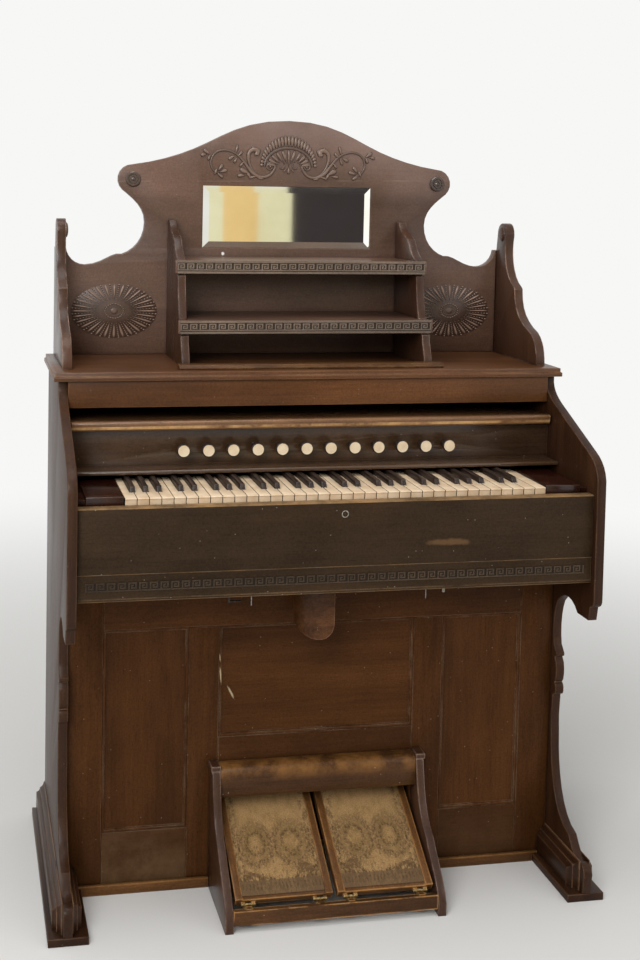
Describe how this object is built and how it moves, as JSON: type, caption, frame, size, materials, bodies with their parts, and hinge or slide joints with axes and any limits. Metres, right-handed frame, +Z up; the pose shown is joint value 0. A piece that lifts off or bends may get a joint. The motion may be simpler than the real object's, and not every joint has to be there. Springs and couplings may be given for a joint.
{
  "type": "reed organ",
  "caption": "Parlour reed organ in dark walnut with shaped crest, bevelled mirror, shelves, stop knobs, keyboard, knee lever and two carpeted treadle pedals.",
  "frame": {"origin": "on the floor at the middle of the bounding box", "axes": "+X to the player's right, +Y to the back, +Z up"},
  "size_m": [1.126, 0.55, 1.586],
  "materials": {
    "walnut": "dark stained walnut, satin varnish",
    "dark_walnut": "dark stained walnut, worn satin varnish",
    "key_slip_walnut": "nearly black stained wood, satin",
    "key_block_walnut": "dark red brown, glossy varnish",
    "worn_walnut": "walnut with its varnish worn at the edges",
    "inner_wood": "plain dark wood, matt",
    "ivory": "aged cream key covers, satin",
    "ebony": "black stained wood, satin",
    "mirror": "bevelled silvered glass",
    "carpet": "worn cut pile carpet, ochre with dark scrolls"
  },
  "bodies": {
    "case": {"left_side": "walnut", "right_side": "walnut", "top_board": "walnut", "fascia": "walnut", "crest_board": "walnut", "crest_shell": "walnut", "rosettes": "walnut", "sunbursts": "walnut", "left_end_bracket": "walnut", "right_end_bracket": "walnut", "left_shelf_bracket": "walnut", "right_shelf_bracket": "walnut", "upper_shelf": "walnut", "lower_shelf": "walnut", "left_pedal_cheek": "walnut", "right_pedal_cheek": "walnut", "left_key_block": "key_block_walnut", "right_key_block": "key_block_walnut", "left_foot_plate": "dark_walnut", "right_foot_plate": "dark_walnut", "left_foot_block": "dark_walnut", "right_foot_block": "dark_walnut", "front_stiles": "dark_walnut", "front_rails": "dark_walnut", "left_panel": "dark_walnut", "centre_panel": "dark_walnut", "right_panel": "dark_walnut", "key_ledge": "dark_walnut", "stop_board": "dark_walnut", "key_slip": "key_slip_walnut", "key_bed": "inner_wood", "reed_chest": "inner_wood", "back_board": "inner_wood", "pedal_well": "inner_wood", "base_strip": "worn_walnut", "music_ledge": "worn_walnut", "pedal_over_rail": "worn_walnut", "pedal_front_rail": "worn_walnut", "natural_keys": "ivory", "sharp_keys": "ebony", "mirror": "mirror"},
    "stop_1": {"stop_1": "ebony"},
    "stop_2": {"stop_2": "ebony"},
    "stop_3": {"stop_3": "ebony"},
    "stop_4": {"stop_4": "ebony"},
    "stop_5": {"stop_5": "ebony"},
    "stop_6": {"stop_6": "ebony"},
    "stop_7": {"stop_7": "ebony"},
    "stop_8": {"stop_8": "ebony"},
    "stop_9": {"stop_9": "ebony"},
    "stop_10": {"stop_10": "ebony"},
    "stop_11": {"stop_11": "ebony"},
    "stop_12": {"stop_12": "ebony"},
    "key_lid": {"key_lid": "worn_walnut"},
    "left_pedal": {"left_pedal": "worn_walnut", "left_carpet": "carpet"},
    "right_pedal": {"right_pedal": "worn_walnut", "right_carpet": "carpet"},
    "knee_lever": {"knee_lever": "worn_walnut"}
  },
  "joints": [
    {"name": "stop_1_slide", "type": "slide", "parent": "case", "child": "stop_1", "axis": [0, -1, 0], "range_m": [0, 0.028]},
    {"name": "stop_2_slide", "type": "slide", "parent": "case", "child": "stop_2", "axis": [0, -1, 0], "range_m": [0, 0.028]},
    {"name": "stop_3_slide", "type": "slide", "parent": "case", "child": "stop_3", "axis": [0, -1, 0], "range_m": [0, 0.028]},
    {"name": "stop_4_slide", "type": "slide", "parent": "case", "child": "stop_4", "axis": [0, -1, 0], "range_m": [0, 0.028]},
    {"name": "stop_5_slide", "type": "slide", "parent": "case", "child": "stop_5", "axis": [0, -1, 0], "range_m": [0, 0.028]},
    {"name": "stop_6_slide", "type": "slide", "parent": "case", "child": "stop_6", "axis": [0, -1, 0], "range_m": [0, 0.028]},
    {"name": "stop_7_slide", "type": "slide", "parent": "case", "child": "stop_7", "axis": [0, -1, 0], "range_m": [0, 0.028]},
    {"name": "stop_8_slide", "type": "slide", "parent": "case", "child": "stop_8", "axis": [0, -1, 0], "range_m": [0, 0.028]},
    {"name": "stop_9_slide", "type": "slide", "parent": "case", "child": "stop_9", "axis": [0, -1, 0], "range_m": [0, 0.028]},
    {"name": "stop_10_slide", "type": "slide", "parent": "case", "child": "stop_10", "axis": [0, -1, 0], "range_m": [0, 0.028]},
    {"name": "stop_11_slide", "type": "slide", "parent": "case", "child": "stop_11", "axis": [0, -1, 0], "range_m": [0, 0.028]},
    {"name": "stop_12_slide", "type": "slide", "parent": "case", "child": "stop_12", "axis": [0, -1, 0], "range_m": [0, 0.028]},
    {"name": "key_lid_slide", "type": "slide", "parent": "case", "child": "key_lid", "axis": [0, -1, 0], "range_m": [0, 0.17]},
    {"name": "left_pedal_hinge", "type": "hinge", "parent": "case", "child": "left_pedal", "pos_m": [-0.103, -0.254, 0.046], "axis": [-1, 0, 0], "range_deg": [0, 15], "stiffness_Nm_per_rad": 15, "springref_deg": -14.32},
    {"name": "right_pedal_hinge", "type": "hinge", "parent": "case", "child": "right_pedal", "pos_m": [0.103, -0.254, 0.046], "axis": [-1, 0, 0], "range_deg": [0, 15], "stiffness_Nm_per_rad": 15, "springref_deg": -14.32},
    {"name": "knee_lever_pivot", "type": "hinge", "parent": "case", "child": "knee_lever", "pos_m": [-0.034, -0.16, 0.6455], "axis": [0, -1, 0], "range_deg": [0, 20], "stiffness_Nm_per_rad": 1.5, "springref_deg": -11.46}
  ]
}
